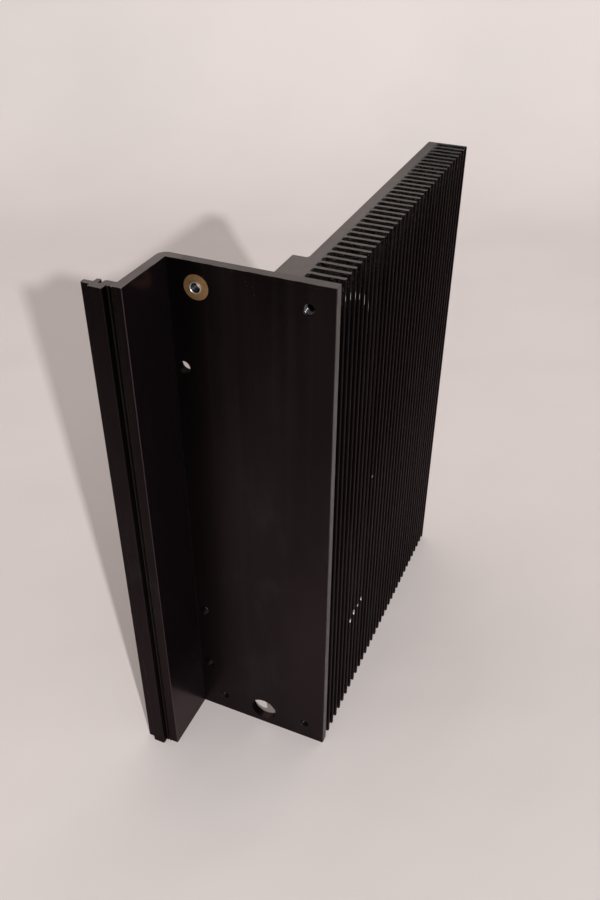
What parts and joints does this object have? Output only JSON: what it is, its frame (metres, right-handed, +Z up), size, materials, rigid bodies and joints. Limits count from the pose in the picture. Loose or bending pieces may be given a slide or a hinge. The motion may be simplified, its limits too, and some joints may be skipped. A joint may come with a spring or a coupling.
{
  "type": "servo drive heat sink chassis",
  "caption": "Bare aluminium heat sink chassis of a wall-mounted drive: side wall with tapped inserts and earth washer, finned base and hooked front flange.",
  "frame": {"origin": "under the middle of the chassis, on the face that it stands on", "axes": "+Z up along the extrusion, +X towards the fin tips, +Y along the row of fins away from the front rail"},
  "size_m": [0.1052, 0.2592, 0.3175],
  "materials": {
    "anodised": "black anodised, satin, with sawn bare ends",
    "yellow_zinc": "yellow zinc plated, turned",
    "steel": "bright zinc plated"
  },
  "bodies": {
    "root": {"heatsink_chassis": "anodised", "earth_washer": "yellow_zinc", "earth_insert": "steel", "insert_top_fin_side": "steel", "insert_bottom_arm_side": "steel", "insert_bottom_fin_side": "steel"}
  },
  "joints": []
}
